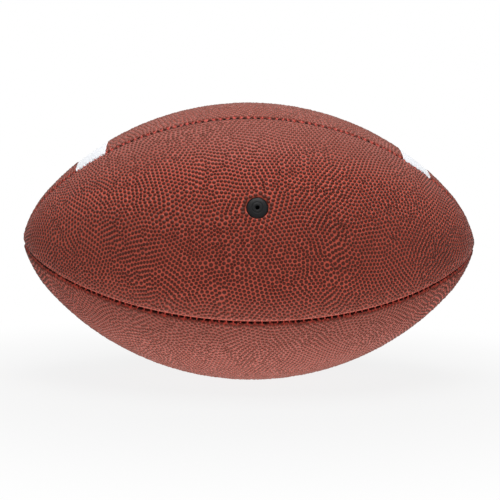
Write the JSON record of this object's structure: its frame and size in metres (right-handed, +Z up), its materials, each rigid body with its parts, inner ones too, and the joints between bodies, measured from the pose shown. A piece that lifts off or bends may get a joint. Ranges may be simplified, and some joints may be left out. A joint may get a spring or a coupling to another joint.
{
  "type": "american football",
  "caption": "Pointed oval ball of stitched pebbled panels with white end stripes, a lace, an air bladder and a rubber valve, for throwing, catching and kicking.",
  "frame": {"origin": "centre of the ball", "axes": "+X along the long axis, to the right of the picture; -Y to the front, where the valve is; +Z up"},
  "size_m": [0.2804, 0.1702, 0.1702],
  "materials": {
    "cover": "pebbled",
    "lining": "woven",
    "stripe": "satin",
    "thread": "waxed thread",
    "reinforcement": "plain",
    "lace": "matte",
    "bladder": "matte",
    "patch": "woven",
    "valve_rubber": "matte"
  },
  "bodies": {
    "ball": {"bladder": "bladder", "lace": "lace", "lace_facing_rear": "reinforcement", "lace_facing_upper": "reinforcement", "lace_tongue": "reinforcement", "lining_lower": "lining", "lining_rear": "lining", "lining_upper": "lining", "lining_valve": "lining", "panel_lower": "cover", "panel_rear": "cover", "panel_upper": "cover", "panel_valve": "cover", "seam_thread_lace_left": "thread", "seam_thread_lace_right": "thread", "seam_thread_lower_front": "thread", "seam_thread_lower_rear": "thread", "seam_thread_upper": "thread", "stripe_rear_left": "stripe", "stripe_rear_right": "stripe", "stripe_upper_left": "stripe", "stripe_upper_right": "stripe", "valve_boot": "valve_rubber", "valve_patch": "patch"},
    "valve": {"valve_core": "valve_rubber"}
  },
  "joints": [
    {"name": "valve_core_pull", "type": "slide", "parent": "ball", "child": "valve", "axis": [0, -0.9659, 0.2588], "range_m": [0, 0.016]}
  ]
}
